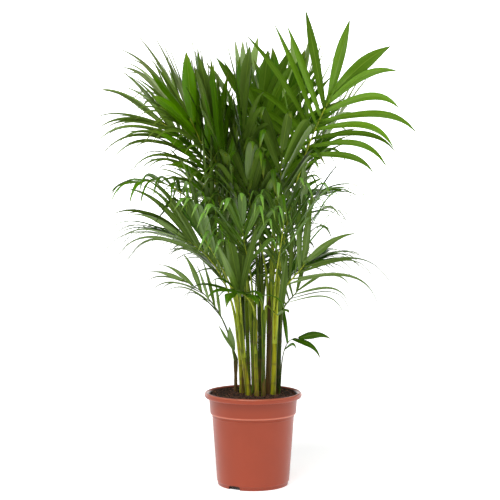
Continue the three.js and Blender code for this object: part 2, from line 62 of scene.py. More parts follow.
# Canes. A ring is the step where an old sheath ends: its place up the cane, and how much that varies.
CANE = {
    "flare": 1.35, "foot": 1.16, "flare_height": 14, "waist": 0.92, "waist_at": 0.5,
    "swell": 1.12, "swell_at": 0.82, "crown_at": 0.94, "top": 0.62, "frond_spacing": 7.2, "shoulder": 2.4,
    "steps": 46, "sides": 20, "buried": 4, "sway": 0.22,
    "rings": ((0.16, 0.05), (0.36, 0.07), (0.62, 0.06)),
    "ring_width": 2.2, "ring_swell": 0.07, "scar": 0.75,
}
STEM_FIELDS = ("foot", "azimuth", "lean", "height", "radius", "tint")
STEMS = {
    "left_thin": ((-38, 26), 185, 0, 68, 3.8, "dark"),
    "left_yellow": ((-24, 8), 185, 3, 140, 5.4, "yellow"),
    "front_left": ((-10, -30), 190, 7, 160, 5.8, "yellow"),
    "centre": ((2, -8), 200, 2, 180, 5.2, "green"),
    "inner": ((-9, 24), 150, 2, 200, 4.8, "green"),
    "front_centre": ((8, -38), 230, 2, 170, 4.6, "yellow"),
    "back_left": ((-18, 40), 120, 4, 190, 5.0, "dark"),
    "back_centre": ((16, 58), 85, 4, 180, 4.8, "dark"),
    "back_outer": ((2, 68), 95, 5, 150, 4.2, "green"),
    "middle": ((14, 20), 60, 1, 210, 5.8, "dark"),
    "front_thin": ((22, -34), 275, 2, 185, 4.4, "green"),
    "brown": ((32, -6), 0, 1, 210, 6.0, "brown"),
    "front_right": ((43, -26), 340, 2, 190, 6.0, "yellow"),
    "right": ((54, 2), 10, 1, 165, 5.4, "dark"),
    "back_right": ((38, 36), 50, 3, 190, 5.2, "green"),
}
STEMS = {name: dict(zip(STEM_FIELDS, row)) for name, row in STEMS.items()}

# Frond kinds: bare is the leafless share of the rib, spread the leaflets' angle to it at both ends,
# vee their lift out of the rib's plane, droop how far they hang, start the rib's lean at its foot,
# full where a blade is widest, taper how it narrows after that, hook how far it folds over, hold where
# the fold is done, and fine how many leaflets the frond has for each one of its solid.
KINDS = {
    "tall": dict(rib=2.7, bare=0.42, pairs=10, leaf=220, width=23, spread=(44, 12), vee=12,
                 droop=1.1, start=5, full=0.58, taper=1.7, fine=1.2),
    "arch": dict(rib=2.5, bare=0.4, pairs=11, leaf=210, width=12, spread=(52, 16), vee=18,
                 droop=1.8, start=8, full=0.36, taper=1.15, fine=1.4),
    "low": dict(rib=2.2, bare=0.4, pairs=7, leaf=180, width=11, spread=(52, 20), vee=16,
                droop=1.9, start=10, full=0.36, taper=1.2, fine=1.3),
    "fold": dict(rib=2.3, bare=0.5, pairs=6, leaf=205, width=17, spread=(32, 10), vee=16,
                 droop=0.6, start=4, full=0.5, taper=1.5, fine=1.2, hook=2.2, bend=6, hold=0.8),
    "spear": dict(rib=2, bare=0.86, pairs=1, leaf=240, width=25, spread=(9, 5), vee=4,
                  droop=0.6, start=3, full=0.5, taper=1.6, fine=1),
    "small": dict(rib=1.5, bare=0.55, pairs=3, leaf=110, width=10, spread=(40, 26), vee=15,
                  droop=1.6, start=8, full=0.4, taper=1.2, fine=1),
}

# Fronds: name, stem, where the rib ends, its lean there, kind, leaf tint, and what differs from the kind
FRONDS = [
    ("top_right", "front_right", (163, -80, 839), 30, "tall", "bright",
     dict(bare=0.68, pairs=8, roll=-76, tip_width=1.3, leaf=240, width=21,
          spread=(58, 9), vee=-8, droop=2.1, fine=1)),
    ("top_back_right", "back_right", (106, 150, 869), 8, "tall", "pale",
     dict(roll=-30, leaf=200, width=17)),
    ("top_middle", "middle", (-22, -60, 806), 2, "tall", "deep",
     dict(bare=0.34, leaf=200, roll=-50, fine=1.3)),
    ("top_back", "back_left", (-16, 120, 858), 4, "tall", "pale", dict(leaf=200, width=18, roll=40)),
    ("top_left", "centre", (-90, -110, 800), 20, "tall", "deep",
     dict(bare=0.34, leaf=235, width=25, roll=-50, spread=(38, 12), pairs=9, fine=1.2)),
    ("upper_left", "left_yellow", (-203, 30, 788), 64, "arch", "grey",
     dict(bare=0.5, roll=-50, leaf=250, spread=(40, 12), vee=14, droop=2.4, fine=2)),
    ("upper_back_left", "back_left", (-192, 150, 842), 58, "arch", "grey",
     dict(roll=40, leaf=260, spread=(38, 14), droop=2.8, fine=2)),
    ("upper_right", "right", (143, 60, 759), 36, "arch", "bright",
     dict(bare=0.5, roll=-60, leaf=250, droop=2.4, pairs=7, fine=1)),
    ("upper_back_right", "back_right", (193, 170, 802), 42, "arch", "grey", dict(roll=-30, leaf=220)),
    ("arching_left", "front_left", (-242, -60, 659), 100, "arch", "bright",
     dict(leaf=210, droop=5, width=13, spread=(74, 40), vee=26, bend=1.4)),
    ("arching_front", "centre", (-23, -150, 570), 30, "fold", "dull", {}),
    ("arching_front_right", "front_right", (64, -130, 585), 22, "fold", "dull", dict(width=13, leaf=215)),
    ("middle_right", "right", (115, 10, 593), 18, "arch", "deep",
     dict(droop=2.9, roll=-35, leaf=235, width=19, pairs=5, spread=(52, 20), fine=1)),
    ("lower_right", "front_right", (112, -60, 489), 34, "arch", "deep",
     dict(droop=2.9, roll=-60, leaf=235, width=15, pairs=5, spread=(40, 18), fine=1)),
    ("low_right", "right", (97, -20, 426), 38, "low", "deep",
     dict(droop=3.2, roll=-40, width=10, pairs=4, fine=1)),
    ("middle_left", "left_yellow", (-144, -20, 534), 62, "arch", "deep",
     dict(droop=2.8, roll=35, leaf=290, width=13, spread=(34, 12), fine=1.8)),
    ("middle_back_left", "back_left", (-126, 60, 653), 50, "arch", "grey", dict(leaf=190, roll=35)),
    ("low_left", "left_thin", (-150, 0, 444), 66, "low", "deep",
     dict(leaf=125, width=14, pairs=5, roll=30, spread=(32, 14), fine=1.3)),
    ("young_left", "left_thin", (-42, 20, 291), 18, "spear", "deep",
     dict(width=17, leaf=90, spread=(16, 6), roll=20)),
    ("seedling", "soil", (98, -20, 322), 92, "small", "deep",
     dict(foot=(57, -6), roll=50, droop=2.2, spread=(50, 20), leaf=120, width=14, bare=0.62, pairs=2)),
    ("spear_right", "front_thin", (54, -110, 388), -1, "spear", "deep", dict(roll=12, width=19, leaf=200)),
    ("spear_left", "front_left", (-28, -80, 431), 8, "spear", "deep",
     dict(width=26, pairs=2, bare=0.8, spread=(14, 8), leaf=220)),
    ("low_front", "front_thin", (-11, -110, 424), 80, "small", "deep",
     dict(leaf=160, droop=4.2, pairs=2, width=20, spread=(62, 40), roll=-10)),
    ("back_high", "back_centre", (20, 230, 700), 60, "arch", "deep", dict(fine=1.9)),
    ("back_left_high", "back_outer", (-100, 220, 620), 75, "arch", "bright", {}),
    ("back_right_high", "back_centre", (120, 210, 620), 75, "arch", "bright", dict(fine=2)),
    ("back_low", "back_outer", (10, 205, 480), 85, "low", "deep", dict(fine=2.4)),
    ("back_left_low", "back_outer", (-70, 150, 490), 65, "low", "deep", dict(fine=2.4)),
    ("back_right_low", "back_right", (130, 80, 480), 65, "low", "deep", dict(fine=2.4)),
    ("top_inner_right", "brown", (59, 70, 812), 8, "tall", "deep", dict(fine=1.4, leaf=210)),
    ("top_inner", "middle", (19, 10, 826), 6, "tall", "bright", dict(fine=1.2, leaf=210, roll=-20)),
    ("top_outer_left", "left_yellow", (-134, -50, 794), 28, "tall", "bright",
     dict(leaf=200, width=24, roll=-70, spread=(34, 14), pairs=8, fine=1)),
    ("fold_left", "front_left", (-118, -90, 567), 32, "fold", "dull", dict(width=15, roll=-10)),
    ("fold_high", "brown", (-11, -140, 658), 12, "fold", "deep", dict(leaf=205, width=22)),
    ("fold_right", "right", (103, -60, 557), 14, "fold", "dull", dict(width=8, leaf=210)),
    ("upper_left_front", "centre", (-156, -40, 794), 52, "arch", "grey",
     dict(roll=-40, leaf=245, spread=(40, 14), droop=2.6, fine=1.8)),
    ("fold_top", "brown", (59, -130, 721), 12, "fold", "deep",
     dict(leaf=215, width=24, pairs=5, spread=(30, 12))),
    ("hang_left", "front_centre", (-40, -100, 429), 84, "small", "deep",
     dict(leaf=160, droop=4, pairs=2, width=22, spread=(50, 30), roll=-10)),
    ("inner_left", "inner", (-103, 40, 797), 14, "tall", "deep",
     dict(bare=0.3, leaf=200, width=24, pairs=8, fine=1.3)),
]

# Ribs: how far the curve holds its direction at each end, how thin the tip is, and the sheath below
RIB = {
    "start_hold": 0.38, "end_hold": 0.34, "tip_share": 0.45, "steps": 26, "sides": 8,
    "base": 1.45, "base_share": 0.35, "soil_base": 1.3, "soil_foot": 1.4, "soil_clear": 0.35, "buried": 5,
    "sheath_steps": 8, "sheath_most": 80, "sheath_share": 0.5, "sheath_thick": 0.72, "sheath_inset": 0.25,
}

# Leaflets: their common shape, and how much each one differs from its neighbours
LEAF = {
    "bend": 2, "twist": 12, "segments": 14, "thickness": 0.5, "fold": 0.3, "curl": 38, "narrowing": 3.2,
    "stagger": 0.45, "least_length": 0.62, "least_width": 0.62, "foot_width": 0.4, "tip_width": 1.15,
}
VARIES = {
    "spread": 7, "vee": 9, "twist": 14, "droop": 0.35, "hook": 0.15, "length": 0.13, "width": 0.12,
    "hold": 0.1, "tone": (0.4, 0.12),
}

# Camera: metres, and millimetres for the lens
VIEW = {
    "place": (-0.0068, -3.0, 0.69), "target": (-0.0068, 0, 0.5112),
    "lens": 99.9, "sensor": 36, "reach": 100,
}

# Studio: the wall is only tall enough to stand behind the plant in a level view
STUDIO = {
    "ambient": 0.08, "key": 1.9, "softness": 36, "key_from": (-0.5, -1.3, 2.6),
    "bank_power": 3, "bank_place": (2.4, -1.7, 1.0), "bank_size": (0.7, 2.4), "bank_target": (0, 0, 0.4),
    "wall_radius": 14, "wall_height": 3.6, "wall_foot": -0.01, "floor_height": -0.0003, "sides": 96,
    "paper": (0.9, 0.9, 0.9, 1), "floor_glow": 0.77, "wall_glow": 1.15,
}

# Colours, as display values out of 255. A leaf has an upper side, an underside and the strength of its
# wax sheen; a cane and a rib have a light and a dark colour.
LEAF_TINTS = {
    "bright": ((80, 127, 0), (86, 124, 12), 0.35),
    # Partly painted shade: a darker green of the fronds' own that also paints the shade inside the crown
    "deep": ((62, 104, 0), (84, 110, 34), 0.8),
    # Partly painted light: an olive-grey leaf colour that also carries a painted sheen of pale reflected
    # light
    "grey": ((90, 118, 32), (124, 142, 84), 0.9),
    "pale": ((134, 164, 84), (160, 180, 120), 0.9),
    # Painted light: a pale painted highlight on the upper side and a painted shade on the underside, for
    # fronds that fold over
    "dull": ((112, 162, 62), (62, 90, 12), 0.6),
}
CANE_TINTS = {
    "yellow": ((150, 148, 10), (76, 92, 2)),
    "green": ((96, 118, 8), (48, 70, 2)),
    "dark": ((56, 74, 8), (30, 42, 4)),
    "brown": ((98, 80, 32), (60, 48, 16)),
}
RIB_TINTS = {
    "yellow": ((168, 178, 54), (118, 134, 26)),
    "green": ((132, 148, 34), (84, 104, 12)),
    "dark": ((84, 104, 18), (50, 68, 8)),
}
LEAF_MARKS = {"tip": (150, 150, 60), "midrib": (130, 160, 50)}
CANE_MARKS = {"dry": (132, 92, 48), "scar": (92, 70, 40)}
# Of these colours, edge is a painted highlight and slot is a painted shade
POT_COLOURS = {
    "body": (150, 57, 26), "worn": (162, 80, 50), "edge": (226, 138, 112),
    "dust": (96, 58, 42), "inside": (46, 30, 20), "slot": (24, 15, 10),
}
SOIL_COLOURS = {"peat": ((20, 12, 7), (116, 78, 54)), "crumbs": ((30, 18, 10), (164, 112, 82))}
SOIL_FIBRE = (94, 48, 34)

# Where the pot's surface turns from one colour to the next: the two heights or radii of each turn
POT_TURNS = {
    "under_rim": (POT["height"] - 36, POT["height"] - 14),
    "rim": (POT["height"] - 12.5, POT["height"] - 11.5),
    "foot_line": (7.8, 8.8), "slot_top": (9.5, 10.5), "slot_back": (65, 66),
    "slot_front": (POT["base_radius"] - 2.3, POT["base_radius"] - 2), "soil_line": (188, 190),
}
# Painted highlights along the step's and the rim's edges: height and width
POT_HIGHLIGHTS = {"step": (POT["step_height"] + 0.6, 2.4), "rim": (POT["height"] - 1.2, 3)}


# Node trees

def adds(operation, swapped=False):
    """A method that joins a wire and another value in one Math or Vector Math node."""
    def method(wire, other):
        return wire.graph.sum(operation, *((other, wire) if swapped else (wire, other)))

    return method


class Wire:
    """A socket of a node tree; arithmetic on it adds Math and Vector Math nodes."""

    __add__, __radd__ = adds("ADD"), adds("ADD", swapped=True)
    __sub__, __rsub__ = adds("SUBTRACT"), adds("SUBTRACT", swapped=True)
    __mul__ = __rmul__ = adds("MULTIPLY")
    __truediv__, __pow__ = adds("DIVIDE"), adds("POWER")
    dot, cross = adds("DOT_PRODUCT"), adds("CROSS_PRODUCT")

    def __init__(self, graph, socket):
        self.graph = graph
        self.socket = socket

    def __abs__(self):
        return self.graph.sum("ABSOLUTE", self)

    def unit(self):
        return self.graph.sum("NORMALIZE", self)

    def axis(self, index):
        return self.graph.node("ShaderNodeSeparateXYZ", {}, {0: self}, index)


def is_vector(value):
    if isinstance(value, Wire):
        return value.socket.type == "VECTOR"
    return isinstance(value, tuple)


class Graph:
    """A node tree being built."""

    def __init__(self, tree):
        self.tree = tree

    def node(self, kind, settings=None, sockets=None, out=0):
        """Add a node: its settings first, then the values or links of its sockets."""
        made = self.tree.nodes.new(kind)
        for name, value in (settings or {}).items():
            setattr(made, name, value)
        for name, value in (sockets or {}).items():
            self.join(value, next(s for i, s in enumerate(made.inputs) if name in (i, s.identifier)))
        return Wire(self, made.outputs[out])

    def join(self, value, socket):
        if isinstance(value, Wire):
            self.tree.links.new(value.socket, socket)
        else:
            socket.default_value = value

    def sum(self, operation, a, b=None):
        """One Math or Vector Math node, whichever the operands need."""
        operands = [x for x in (a, b) if x is not None]
        vectors = [is_vector(x) for x in operands]
        if not any(vectors):
            return self.node("ShaderNodeMath", {"operation": operation}, dict(enumerate(operands)))
        if operation == "MULTIPLY" and not all(vectors):
            vector, number = operands if vectors[0] else reversed(operands)
            return self.node("ShaderNodeVectorMath", {"operation": "SCALE"}, {0: vector, "Scale": number})
        out = 1 if operation in ("DOT_PRODUCT", "LENGTH") else 0
        return self.node("ShaderNodeVectorMath", {"operation": operation}, dict(enumerate(operands)), out)

    def least(self, a, b):
        return self.sum("MINIMUM", a, b)

    def most(self, a, b):
        return self.sum("MAXIMUM", a, b)

    def ramp(self, value, low, high):
        """0 below low, 1 above high, smooth between them."""
        smooth = {"interpolation_type": "SMOOTHSTEP"}
        return self.node("ShaderNodeMapRange", smooth, {0: value, 1: low, 2: high})

    def blend(self, share, a, b):
        """The first colour turning to the second."""
        colours = {"Factor_Float": share, "A_Color": a, "B_Color": b}
        return self.node("ShaderNodeMix", {"data_type": "RGBA"}, colours, 2)

    def noise(self, place, scale, detail=3, roughness=0.5):
        return self.node("ShaderNodeTexNoise", {}, {
            "Vector": place, "Scale": scale, "Detail": detail, "Roughness": roughness})

    def stretched(self, place, x, y, z):
        return self.sum("MULTIPLY", place, (x, y, z))

    def attribute(self, name, out):
        return self.node("ShaderNodeAttribute", {"attribute_name": name}, {}, out)

    def bump(self, height, depth, strength=1):
        return self.node("ShaderNodeBump", {}, {"Height": height, "Distance": depth, "Strength": strength})


def field_tree(name, inputs):
    """A Geometry Nodes tree with a geometry input, the named inputs given, and a geometry output."""
    tree = bpy.data.node_groups.new(name, "GeometryNodeTree")
    tree.interface.new_socket("Geometry", in_out="INPUT", socket_type="NodeSocketGeometry")
    for label, (kind, value) in inputs.items():
        socket = tree.interface.new_socket(label, in_out="INPUT", socket_type=f"NodeSocket{kind}")
        if value is not None:
            socket.default_value = value
    tree.interface.new_socket("Geometry", in_out="OUTPUT", socket_type="NodeSocketGeometry")
    graph = Graph(tree)
    entry = tree.nodes.new("NodeGroupInput")
    return graph, {socket.name: Wire(graph, socket) for socket in entry.outputs if socket.name}


def finish_tree(graph, geometry, material):
    """End a tree in Realize Instances and Set Material."""
    solid = graph.node("GeometryNodeRealizeInstances", {}, {"Geometry": geometry})
    painted = graph.node("GeometryNodeSetMaterial", {}, {"Geometry": solid, "Material": material})
    leave = graph.tree.nodes.new("NodeGroupOutput")
    graph.join(painted, leave.inputs[0])
    return graph.tree


def named(graph, name, kind="FLOAT"):
    return graph.node("GeometryNodeInputNamedAttribute", {"data_type": kind}, {"Name": name})


# Objects

def show(name, mesh):
    piece = bpy.data.objects.new(name, mesh)
    bpy.context.scene.collection.objects.link(piece)
    return piece


def keep(piece, nodes):
    """Ride on the one body and stand for the CAD nodes."""
    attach(piece, "root")
    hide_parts(*nodes)
    return piece


def settled(piece):
    """Turn what the piece's modifiers make into its plain mesh."""
    graph = bpy.context.evaluated_depsgraph_get()
    made = bpy.data.meshes.new_from_object(piece.evaluated_get(graph))
    made.name = piece.name
    piece.modifiers.clear()
    piece.data = made
    return piece


def grown(name, seed, tree, **inputs):
    """The plain mesh that a Geometry Nodes tree makes of a seed mesh."""
    piece = show(name, seed)
    modifier = piece.modifiers.new("grow", "NODES")
    modifier.node_group = tree
    for item in tree.interface.items_tree:
        if item.in_out == "INPUT" and item.name in inputs:
            modifier[item.identifier] = inputs[item.name]
    return settled(piece)


def circle(radius, sides):
    """Points (x, y) round a circle."""
    turns = [2 * math.pi * i / sides for i in range(sides)]
    return [(radius * math.cos(a), radius * math.sin(a)) for a in turns]


def outward(form):
    """Turn the faces of a closed form outward and shade them smooth."""
    bmesh.ops.recalc_face_normals(form, faces=form.faces)
    for face in form.faces:
        face.smooth = True
    return form


def finished(form, name):
    """The mesh of a form."""
    mesh = bpy.data.meshes.new(name)
    form.to_mesh(mesh)
    form.free()
    return mesh


def drop_attributes(piece, *names):
    for name in names:
        old = piece.data.attributes.get(name)
        if old:
            piece.data.attributes.remove(old)


def seed_mesh(name, points, edges, **attributes):
    """A mesh of loose points or chains that carries attributes: lists of numbers or of vectors."""
    mesh = bpy.data.meshes.new(name)
    mesh.from_pydata([p * MM for p in points], edges, [])
    for label, values in attributes.items():
        if isinstance(values[0], (int, float)):
            layer = mesh.attributes.new(label, "FLOAT", "POINT")
            layer.data.foreach_set("value", values)
        else:
            layer = mesh.attributes.new(label, "FLOAT_VECTOR", "POINT")
            layer.data.foreach_set("vector", [x for v in values for x in v])
    return mesh


# Materials

def linear(colour):
    """Display values out of 255 as a shader colour."""
    share = [c / 255 for c in colour]
    return (*[s / 12.92 if s <= 0.04045 else ((s + 0.055) / 1.055) ** 2.4 for s in share], 1)


def shaded(colour, factor):
    return (*[c * factor for c in colour[:3]], 1)


def surface(name, paint):
    """A material whose shader takes the values and links that paint returns."""
    material = bpy.data.materials.new(name)
    material.use_nodes = True
    graph = Graph(material.node_tree)
    shader = material.node_tree.nodes["Principled BSDF"]
    for socket, value in paint(graph).items():
        graph.join(value, shader.inputs[socket])
    return material


def leaf_material(name, upper, under, sheen):
    """Satin palm leaf: a lighter midrib, fine veins, a painted shade on one half of the blade, waxy
    patches, a rougher underside of its own colour.
    """
    upper, under = linear(upper), linear(under)

    def paint(graph):
        blade = graph.attribute("blade", 1)
        tone = graph.attribute("tone", 2)
        across, along = blade.axis(0), blade.axis(1)
        below = graph.ramp(blade.axis(2) * -1, 0, 0.04)
        veins = graph.noise(graph.stretched(blade, 9, 0.7, 0) + tone * 31, 1, 4, 0.62)
        patches = graph.noise(graph.stretched(blade, 1.2, 2.6, 0) + tone * 17, 1, 2)
        midrib = 1 - graph.ramp(abs(across), 0.02, 0.12)
        # The half that takes a painted shade, on one side of the midrib
        half = graph.ramp(across * -1, -0.06, 0.06)
        shift = graph.ramp(tone + patches * 0.7, 0.3, 1.3)
        top = graph.blend(shift, shaded(upper, 0.58), shaded(upper, 1.5))
        top = graph.blend(graph.ramp(along, 0.78, 1.02) * 0.45, top, linear(LEAF_MARKS["tip"]))
        both = graph.blend(below, top, graph.blend(shift, shaded(under, 0.62), shaded(under, 1.35)))
        # Painted shade on that half, as if the fold turned it from the light
        both = graph.blend(half * (0.12 + tone * 0.2), both, shaded(upper, 0.5))
        both = graph.blend(graph.ramp(veins, 0.45, 0.7) * 0.16, both, shaded(under, 1.3))
        both = graph.blend(midrib * 0.3, both, linear(LEAF_MARKS["midrib"]))
        ridges = veins + midrib * 0.6
        wax = graph.ramp(tone * 0.6 + patches, 0.66, 0.96)
        return {
            "Base Color": both,
            "Roughness": 0.3 + below * 0.2 + veins * 0.12,
            "Normal": graph.bump(ridges, 0.0006, 0.7),
            "Coat Weight": wax * sheen,
            "Coat Roughness": 0.22,
            "Specular IOR Level": 0.1,
        }

    return surface(name, paint)


def cane_material(name, light, dark):
    """Smooth cane and sheath: long fibres, dry streaks near the soil, dark rings where a sheath ends."""
    light, dark = linear(light), linear(dark)

    def paint(graph):
        place = graph.node("ShaderNodeTexCoord", {}, {}, 3)
        fibres = graph.noise(graph.stretched(place, 900, 900, 26), 1, 3, 0.6)
        stripes = graph.noise(graph.stretched(place, 210, 210, 5), 1, 3, 0.55)
        blotches = graph.noise(graph.stretched(place, 60, 60, 20), 1, 3)
        scar = graph.attribute("scar", 2)
        colour = graph.blend(graph.ramp(stripes, 0.4, 0.6), light, dark)
        colour = graph.blend(graph.ramp(blotches, 0.52, 0.7) * 0.6, colour, shaded(dark, 0.6))
        colour = graph.blend(graph.ramp(fibres, 0.5, 0.75) * 0.45, colour, shaded(dark, 0.7))
        low = 1 - graph.ramp(place.axis(2), (SOIL_TOP + 20) * MM, (SOIL_TOP + 100) * MM)
        dry = low * graph.ramp(stripes + blotches, 0.95, 1.1)
        colour = graph.blend(dry * 0.45, colour, linear(CANE_MARKS["dry"]))
        colour = graph.blend(scar * 0.7, colour, linear(CANE_MARKS["scar"]))
        return {
            "Base Color": colour,
            "Roughness": 0.4 + fibres * 0.2,
            "Normal": graph.bump(fibres + stripes, 0.0005, 0.6),
            "Specular IOR Level": 0.14,
        }

    return surface(name, paint)


def pot_material():
    """Moulded plastic: faint mottling and wear, painted highlights along the step and rim edges, a painted
    shade under the rim, a painted shade in the slots.
    """
    colours = {name: linear(colour) for name, colour in POT_COLOURS.items()}
    body = colours["body"]

    def paint(graph):
        place = graph.node("ShaderNodeTexCoord", {}, {}, 3)
        clouds = graph.noise(place, 14, 3)
        wear_and_highlight_noise = graph.noise(graph.stretched(place, 60, 60, 200), 1, 4, 0.7)
        skin = graph.noise(place, 1100, 2)
        height, radius = place.axis(2), graph.sum("LENGTH", place * (1, 1, 0))

        def turn(value, name):
            low, high = POT_TURNS[name]
            return graph.ramp(value, low * MM, high * MM)

        # A painted highlight: a pale band round the pot at one height
        def edge(name):
            middle, width = (size * MM for size in POT_HIGHLIGHTS[name])
            return 1 - graph.ramp(abs(height - middle), width * 0.3, width)

        soiled = graph.ramp(graph.noise(place, 55, 4, 0.65) + (height - (SOIL_TOP - 5) * MM) * 9, 0.58, 0.8)
        # Painted highlights on the step's lower edge and the rim's top edge, uneven along them
        edges = edge("step") * 0.5 + edge("rim") * 0.4
        shade = turn(height, "under_rim") * (1 - turn(height, "rim"))
        foot_shade = 1 - turn(height, "foot_line")
        # Painted shade: the inside of each drain slot is darkened to near black
        slot_shade = (1 - turn(radius, "slot_front")) * (1 - turn(height, "slot_top")) * turn(radius, "slot_back")
        wall = POT["collar_top"] * MM
        inside = (1 - graph.ramp(radius, wall + clouds * MM, wall + 1.4 * MM)) * turn(height, "soil_line")
        colour = graph.blend(graph.ramp(clouds, 0.35, 0.7) * 0.5, body, shaded(body, 0.88))
        colour = graph.blend(graph.ramp(wear_and_highlight_noise, 0.6, 0.8) * 0.25, colour, colours["worn"])
        colour = graph.blend(shade * 0.75 + foot_shade * 0.6, colour, shaded(body, 0.74))
        colour = graph.blend(edges * (0.6 + wear_and_highlight_noise * 0.7), colour, colours["edge"])
        colour = graph.blend(soiled * 0.25, colour, colours["dust"])
        colour = graph.blend(inside * 0.85, colour, colours["inside"])
        colour = graph.blend(slot_shade, colour, colours["slot"])
        return {
            "Base Color": colour,
            "Roughness": 0.3 + wear_and_highlight_noise * 0.14 + soiled * 0.1,
            "Normal": graph.bump(skin * 0.4 + clouds, 0.0004, 0.35),
            "Specular IOR Level": 0.28,
            "Coat Weight": 0.24,
            "Coat Roughness": 0.1,
        }

    return surface("moulded_plastic", paint)


def soil_material(name, dark, light):
    """Damp peat: dark crumbs with reddish and pale fibres."""
    dark, light = linear(dark), linear(light)

    def paint(graph):
        place = graph.node("ShaderNodeTexCoord", {}, {}, 3)
        grains = graph.noise(place, 240, 6, 0.7)
        lumps = graph.noise(place, 70, 4, 0.6)
        red = graph.ramp(graph.noise(place, 130, 3, 0.6), 0.56, 0.66)
        colour = graph.blend(graph.ramp(grains, 0.44, 0.68), dark, light)
        colour = graph.blend(red * 0.55, colour, linear(SOIL_FIBRE))
        return {
            "Base Color": colour,
            "Roughness": 0.82 + grains * 0.15,
            "Normal": graph.bump(grains + lumps, 0.003, 0.9),
        }

    return surface(name, paint)


# Pot

def rounded(corners, steps=4):
    """A profile of (radius, height, fillet) corners, each rounded by its fillet."""
    made = []
    for i, (r, z, fillet) in enumerate(corners):
        here = Vector((r, z))
        if fillet == 0:
            made.append(here)
            continue
        before = Vector(corners[i - 1][:2]) - here
        after = Vector(corners[i + 1][:2]) - here
        reach = min(fillet, before.length * 0.45, after.length * 0.45)
        a, b = here + before.normalized() * reach, here + after.normalized() * reach
        for k in range(steps + 1):
            t = k / steps
            made.append(a * (1 - t) ** 2 + here * 2 * t * (1 - t) + b * t ** 2)
    return made


def turned(name, profile, sides):
    """A closed mesh turned about the upright axis; the profile starts and ends on it."""
    form = bmesh.new()
    rings = []
    for r, z in profile:
        if r < 1e-6:
            rings.append([form.verts.new((0, 0, z * MM))])
            continue
        rings.append([form.verts.new((x, y, z * MM)) for x, y in circle(r * MM, sides)])
    for lower, upper in zip(rings, rings[1:]):
        for i in range(sides):
            j = (i + 1) % sides
            corners = [lower[i % len(lower)], lower[j % len(lower)]]
            corners += [upper[j % len(upper)], upper[i % len(upper)]]
            form.faces.new(list(dict.fromkeys(corners)))
    return finished(outward(form), name)


def pot_piece():
    """The pot: a recessed underside, a foot line, a bead, the step under the collar and a rolled rim."""
    foot, body, step = POT["base_radius"], POT["body_top"], POT["step_height"]
    collar, neck = POT["collar_bottom"], POT["collar_top"]
    under, rim, top = POT["rim_bottom"], POT["rim_radius"], POT["height"]
    recess, arch, floor = POT["recess_radius"], POT["recess_height"], POT["floor_top"]
    profile = rounded([
        (0, arch, 0), (recess, arch, 0.8), (recess + 2, 0, 0.8), (foot - 1, 0, 1.6), (foot - 0.2, 8.2, 0.6),
        (foot + 0.9, 8.8, 0.4), (foot + 1.3, 11.2, 0.8), (body - 0.45, step - 8.4, 0.5),
        (body + 0.35, step - 7.2, 0.5), (body - 0.3, step - 6, 0.5), (body, step - 2.4, 0.8),
        (collar - 0.3, step - 0.6, 1.5), (collar + 0.5, step + 4, 2), (neck - 0.4, under - 9.5, 4),
        (neck + 0.7, under, 1.2), (rim - 2.6, under - 0.2, 1.4), (rim - 0.2, under + 3, 2.4),
        (rim, top - 3.6, 2.6), (rim - 2.6, top, 2.6), (neck + 2.4, top - 0.4, 2.4),
        (neck - 2.2, top - 7, 2), (collar - 2.2, step + 3, 1.5), (body - 2.6, step - 5, 1.5),
        (foot - 3, floor, 1), (0, floor, 0),
    ])
    piece = show("pot_shell", turned("pot_shell", profile, POT["sides"]))
    for i in range(SLOT["count"]):
        azimuth = math.radians(SLOT["first"] + 360 * i / SLOT["count"])
        cutter = slot_cutter(azimuth)
        cut = piece.modifiers.new("slot", "BOOLEAN")
        cut.operation, cut.solver, cut.object = "DIFFERENCE", "EXACT", cutter
        settled(piece)
        bpy.data.objects.remove(cutter)
    piece.data.materials.clear()
    piece.data.materials.append(pot_material())
    smooth_by_angle(piece.data, POT["crease"])
    return keep(piece, ["pot"])


def smooth_by_angle(mesh, angle):
    """Smooth shading, but crisp edges where two faces meet at more than the angle."""
    mesh.polygons.foreach_set("use_smooth", [True] * len(mesh.polygons))
    form = bmesh.new()
    form.from_mesh(mesh)
    for edge in form.edges:
        edge.smooth = len(edge.link_faces) == 2 and edge.calc_face_angle(0) < math.radians(angle)
    form.to_mesh(mesh)
    form.free()


def slot_cutter(azimuth):
    """A block with rounded corners that cuts a drain slot through the foot of the wall."""
    form = bmesh.new()
    bmesh.ops.create_cube(form, size=1)
    size = Vector((SLOT["depth"], SLOT["width"], SLOT["height"] * 2)) * MM
    for vert in form.verts:
        vert.co = vert.co * size
    lengthwise = [e for e in form.edges if abs((e.verts[0].co - e.verts[1].co).x) > size.x * 0.9]
    bmesh.ops.bevel(form, geom=lengthwise, offset=SLOT["corner"] * MM, segments=4, affect="EDGES")
    turn = Quaternion((0, 0, 1), azimuth)
    centre = Vector((POT["base_radius"], 0, SLOT["lift"])) * MM
    for vert in form.verts:
        vert.co = turn @ (vert.co + centre)
    if form.calc_volume(signed=True) < 0:
        bmesh.ops.reverse_faces(form, faces=form.faces)
    return show("slot_cutter", finished(form, "slot_cutter"))


# Soil

def scatter(a, b, c):
    """Small repeatable scatter between -1 and 1."""
    s = math.sin(a * 12.9898 + b * 78.233 + c * 37.719) * 43758.5453
    return 2 * (s - math.floor(s)) - 1


def soil_height(x, y):
    """Height of the soil: lumps, low at the wall and heaped a little round the canes."""
    reach = math.hypot(x, y) / SOIL["climb_radius"]
    waves = sum(
        math.sin(x * f * 0.9 + p) * math.cos(y * f + p * 1.7) / n
        for n, (f, p) in enumerate(SOIL["waves"], 1)
    )
    heap_x, heap_y = SOIL["heap_at"]
    heap = max(0.0, 1 - math.hypot(x - heap_x, y - heap_y) / SOIL["heap_radius"])
    lift = SOIL["heap"] * heap + SOIL["lumps"] * waves + SOIL["climb"] * reach ** 4
    return SOIL_TOP - SOIL["sink"] + lift


